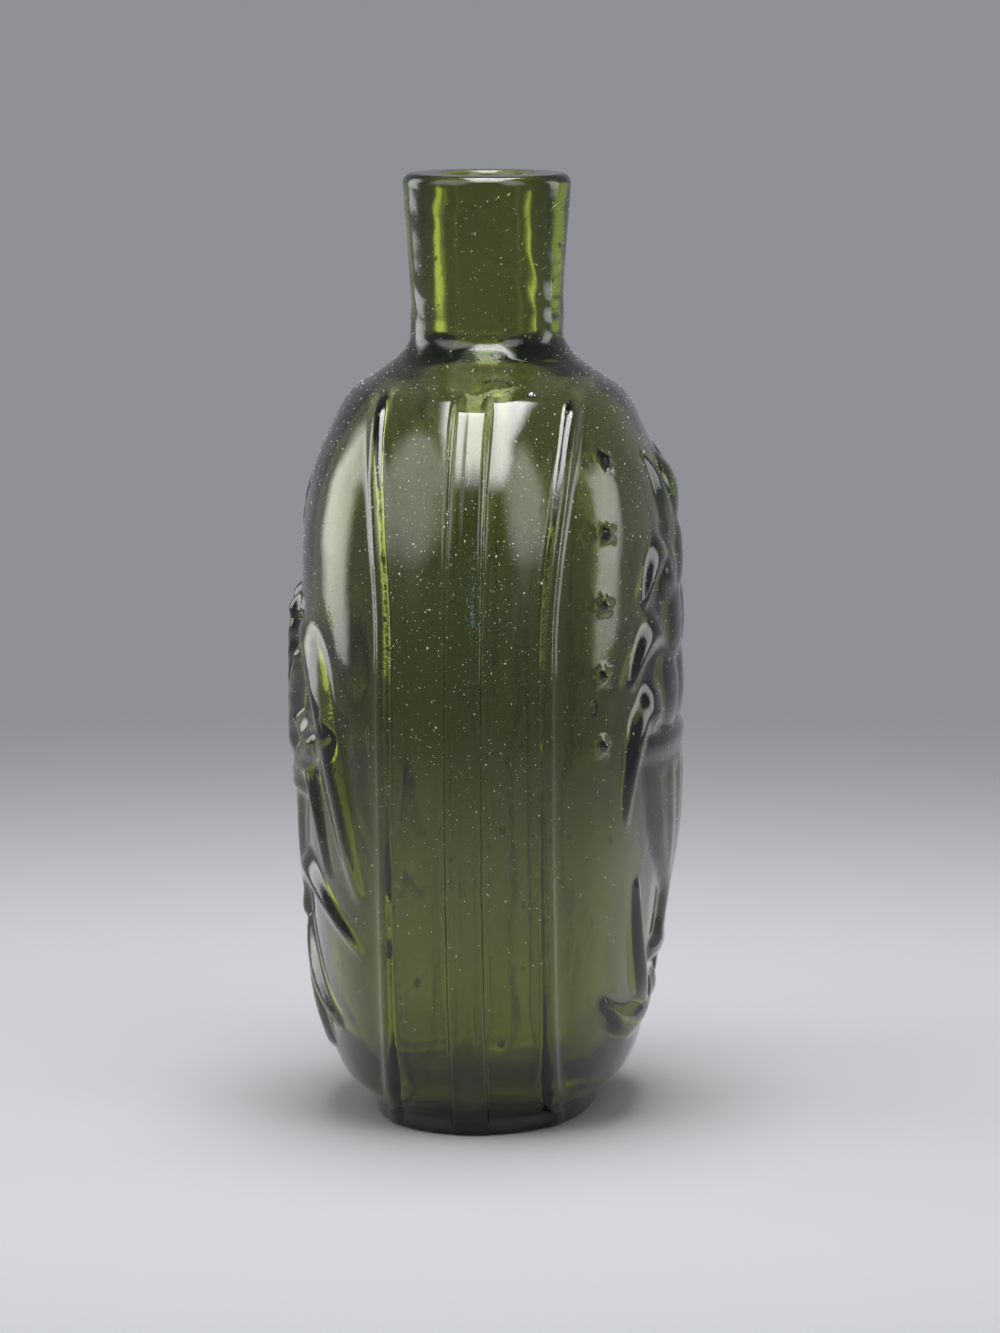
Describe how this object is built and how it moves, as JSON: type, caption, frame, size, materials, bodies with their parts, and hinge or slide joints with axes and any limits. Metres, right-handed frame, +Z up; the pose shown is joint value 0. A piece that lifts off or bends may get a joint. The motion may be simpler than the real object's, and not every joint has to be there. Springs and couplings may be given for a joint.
{
  "type": "molded glass flask",
  "caption": "Oval molded glass flask with ribbed edges, relief on both broad faces, a plain flared neck with an open mouth, and a low oval foot.",
  "frame": {"origin": "middle of the foot, on the surface that the flask stands on", "axes": "+Z up through the neck, X through the flask's thickness with the urn on +X and the sheaf on -X, Y across its width with a ribbed edge on each side"},
  "size_m": [0.073, 0.112, 0.172],
  "materials": {
    "olive_glass": "glossy, faintly wavy, with fine bubbles",
    "scar_glass": "broken and rough"
  },
  "bodies": {
    "root": {"flask_vessel": "olive_glass", "pontil_scar": "scar_glass"}
  },
  "joints": []
}
